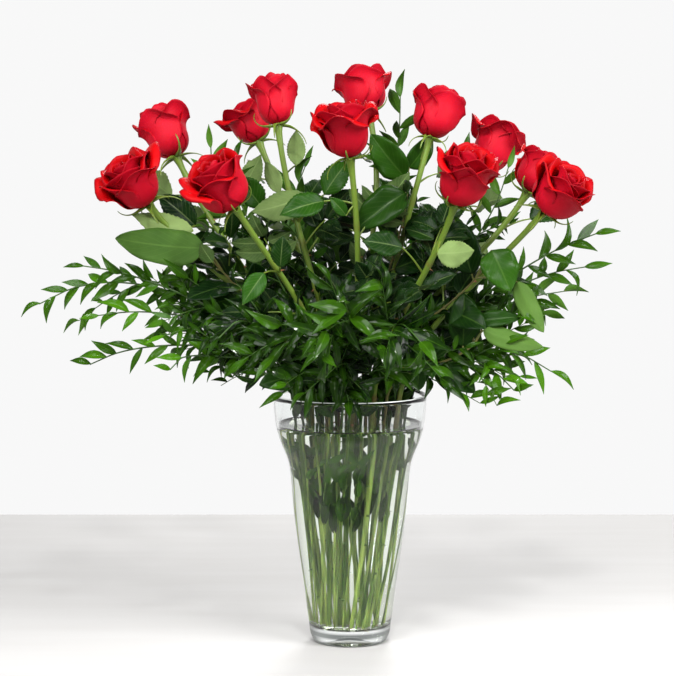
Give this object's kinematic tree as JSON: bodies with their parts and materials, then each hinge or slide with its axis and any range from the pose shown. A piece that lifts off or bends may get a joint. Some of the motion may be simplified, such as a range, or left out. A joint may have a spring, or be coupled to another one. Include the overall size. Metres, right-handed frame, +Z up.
{
  "type": "roses in a vase",
  "caption": "Open red roses among sprays of pointed ruscus and broad salal leaves, standing in water in a clear glass vase that flares to a wide neck.",
  "frame": {"origin": "centre of the vase's flat underside", "axes": "+Z up along the vase's axis, +X to the right and -Y towards the viewer of the bouquet's front"},
  "size_m": [0.6052, 0.4049, 0.6026],
  "materials": {
    "glass": "clear polished",
    "water": "clear water",
    "petal": "soft velvety petal",
    "rose_stem": "satin rose leaf and stem",
    "salal_leaf": "satin broad leaf, paler underneath",
    "ruscus_leaf": "glossy pointed leaf"
  },
  "bodies": {
    "root": {"vase": "glass", "water": "water", "rose_01_bloom": "petal", "rose_02_bloom": "petal", "rose_03_bloom": "petal", "rose_04_bloom": "petal", "rose_05_bloom": "petal", "rose_06_bloom": "petal", "rose_07_bloom": "petal", "rose_08_bloom": "petal", "rose_09_bloom": "petal", "rose_10_bloom": "petal", "rose_11_bloom": "petal", "rose_12_bloom": "petal", "rose_01_stem": "rose_stem", "rose_02_stem": "rose_stem", "rose_03_stem": "rose_stem", "rose_04_stem": "rose_stem", "rose_05_stem": "rose_stem", "rose_06_stem": "rose_stem", "rose_07_stem": "rose_stem", "rose_08_stem": "rose_stem", "rose_09_stem": "rose_stem", "rose_10_stem": "rose_stem", "rose_11_stem": "rose_stem", "rose_12_stem": "rose_stem", "salal_01": "salal_leaf", "salal_02": "salal_leaf", "salal_03": "salal_leaf", "salal_04": "salal_leaf", "salal_05": "salal_leaf", "salal_06": "salal_leaf", "ruscus_01": "ruscus_leaf", "ruscus_02": "ruscus_leaf", "ruscus_03": "ruscus_leaf", "ruscus_04": "ruscus_leaf", "ruscus_05": "ruscus_leaf", "ruscus_06": "ruscus_leaf", "ruscus_07": "ruscus_leaf", "ruscus_08": "ruscus_leaf", "ruscus_09": "ruscus_leaf", "ruscus_10": "ruscus_leaf", "ruscus_11": "ruscus_leaf", "ruscus_12": "ruscus_leaf", "ruscus_13": "ruscus_leaf", "ruscus_14": "ruscus_leaf", "ruscus_15": "ruscus_leaf", "ruscus_16": "ruscus_leaf", "ruscus_17": "ruscus_leaf", "ruscus_18": "ruscus_leaf", "ruscus_19": "ruscus_leaf", "ruscus_20": "ruscus_leaf", "ruscus_21": "ruscus_leaf", "ruscus_22": "ruscus_leaf", "ruscus_23": "ruscus_leaf", "ruscus_24": "ruscus_leaf", "ruscus_25": "ruscus_leaf", "ruscus_26": "ruscus_leaf", "ruscus_27": "ruscus_leaf"}
  },
  "joints": []
}
